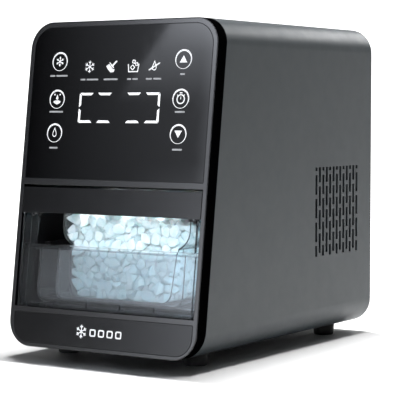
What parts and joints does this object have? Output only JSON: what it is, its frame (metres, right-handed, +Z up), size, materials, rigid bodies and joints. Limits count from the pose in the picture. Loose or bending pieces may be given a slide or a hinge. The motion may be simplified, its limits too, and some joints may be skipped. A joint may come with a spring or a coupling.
{
  "type": "countertop ice maker",
  "caption": "Countertop nugget ice maker with a leaning touch panel, a pull-out clear drawer, a lift-out ice basket, a side grille and the ice-making works inside.",
  "frame": {"origin": "on the floor, under the middle of the body's outline", "axes": "+Z up, +X to the right seen from the front, the front faces -Y"},
  "size_m": [0.23, 0.3638, 0.3425],
  "materials": {
    "wrap_grey": "satin powder coat",
    "bezel_black": "gloss on the edge, satin on the face",
    "panel_glass": "gloss black printed glass",
    "front_satin": "satin dark grey",
    "board_green": "solder mask",
    "display_white": "diffuser",
    "black_plastic": "moulded, fine texture",
    "nylon_white": "moulded nylon",
    "tank_clear": "moulded clear plastic",
    "drawer_clear": "clear plastic",
    "basket_blue": "clear pale blue plastic",
    "rubber_black": "moulded",
    "steel_bright": "turned stainless",
    "copper_tube": "drawn copper",
    "cast_grey": "cast",
    "bronze_bush": "sintered bronze",
    "foam_cream": "closed-cell foam",
    "compressor_black": "gloss enamel"
  },
  "bodies": {
    "cabinet": {"housing_wrap": "wrap_grey", "front_bezel": "bezel_black", "touch_glass": "panel_glass", "lower_fascia": "front_satin", "control_board": "board_green", "display_module": "display_white", "touch_springs": "steel_bright", "cavity_liner": "black_plastic", "drawer_rails": "nylon_white", "cavity_lamp": "display_white", "water_reservoir": "tank_clear", "reservoir_strainer": "black_plastic", "pump_housing": "black_plastic", "feed_hose": "tank_clear", "drain_hose": "tank_clear", "drain_spigot": "nylon_white", "evaporator_sleeve": "steel_bright", "evaporator_coil": "copper_tube", "foam_jacket": "foam_cream", "lower_bearing": "bronze_bush", "extrusion_head": "steel_bright", "head_cover": "black_plastic", "ice_chute": "black_plastic", "gear_case": "cast_grey", "motor_case": "cast_grey", "compressor": "compressor_black", "compressor_grommets": "rubber_black", "condenser_fins": "cast_grey", "condenser_tubes": "copper_tube", "fan_shroud": "black_plastic", "fan_motor": "black_plastic", "filter_drier": "copper_tube", "refrigerant_lines": "copper_tube", "power_board": "board_green", "board_box": "nylon_white", "wire_harness": "black_plastic", "base_pan": "black_plastic", "rubber_feet": "rubber_black", "foot_screws": "steel_bright", "rear_panel": "black_plastic", "rear_screws": "steel_bright", "cord_gland": "rubber_black", "vent_screens": "black_plastic"},
    "drawer": {"drawer_window": "drawer_clear", "drawer_tub": "drawer_clear", "basket_cradle": "basket_blue", "handle_strip": "front_satin", "drawer_screws": "steel_bright"},
    "basket": {"ice_basket": "basket_blue"},
    "auger": {"auger_shaft": "steel_bright", "auger_flight": "steel_bright", "output_gear": "nylon_white"},
    "idler": {"idler_gear": "nylon_white"},
    "rotor": {"motor_pinion": "steel_bright", "motor_rotor": "steel_bright"},
    "fan": {"fan_rotor": "black_plastic"},
    "impeller": {"pump_impeller": "nylon_white"},
    "float": {"level_float": "nylon_white"},
    "flap": {"ice_full_flap": "nylon_white"},
    "stopper": {"drain_stopper": "rubber_black"}
  },
  "joints": [
    {"name": "drawer_slide", "type": "slide", "parent": "cabinet", "child": "drawer", "axis": [0, -1, 0], "range_m": [0, 0.14]},
    {"name": "basket_lift", "type": "slide", "parent": "drawer", "child": "basket", "axis": [0, 0.1338, 0.991], "range_m": [0, 0.026]},
    {"name": "auger_spin", "type": "hinge", "parent": "cabinet", "child": "auger", "pos_m": [0.022, 0.04793, 0.15], "axis": [0, 0, 1], "continuous": true},
    {"name": "idler_spin", "type": "hinge", "parent": "cabinet", "child": "idler", "pos_m": [-0.01346, 0.04039, 0.03], "axis": [0, 0, 1], "continuous": true},
    {"name": "rotor_spin", "type": "hinge", "parent": "cabinet", "child": "rotor", "pos_m": [-0.04971, 0.04039, 0.09], "axis": [0, 0, 1], "continuous": true},
    {"name": "fan_spin", "type": "hinge", "parent": "cabinet", "child": "fan", "pos_m": [0.075, 0.10093, 0.145], "axis": [1, 0, 0], "continuous": true},
    {"name": "pump_spin", "type": "hinge", "parent": "cabinet", "child": "impeller", "pos_m": [0.078, 0.02993, 0.035], "axis": [0, 0, 1], "continuous": true},
    {"name": "float_rise", "type": "slide", "parent": "cabinet", "child": "float", "axis": [0, 0, 1], "range_m": [0, 0.014]},
    {"name": "flap_swing", "type": "hinge", "parent": "cabinet", "child": "flap", "pos_m": [0.022, -0.05507, 0.2231], "axis": [1, 0, 0], "range_deg": [0, 30]},
    {"name": "stopper_pull", "type": "slide", "parent": "cabinet", "child": "stopper", "axis": [0, 1, 0], "range_m": [0, 0.02]}
  ],
  "couplings": [
    {"joint": "idler_spin", "follows": "auger_spin", "ratio": -3.1429},
    {"joint": "rotor_spin", "follows": "auger_spin", "ratio": 9.8776}
  ]
}
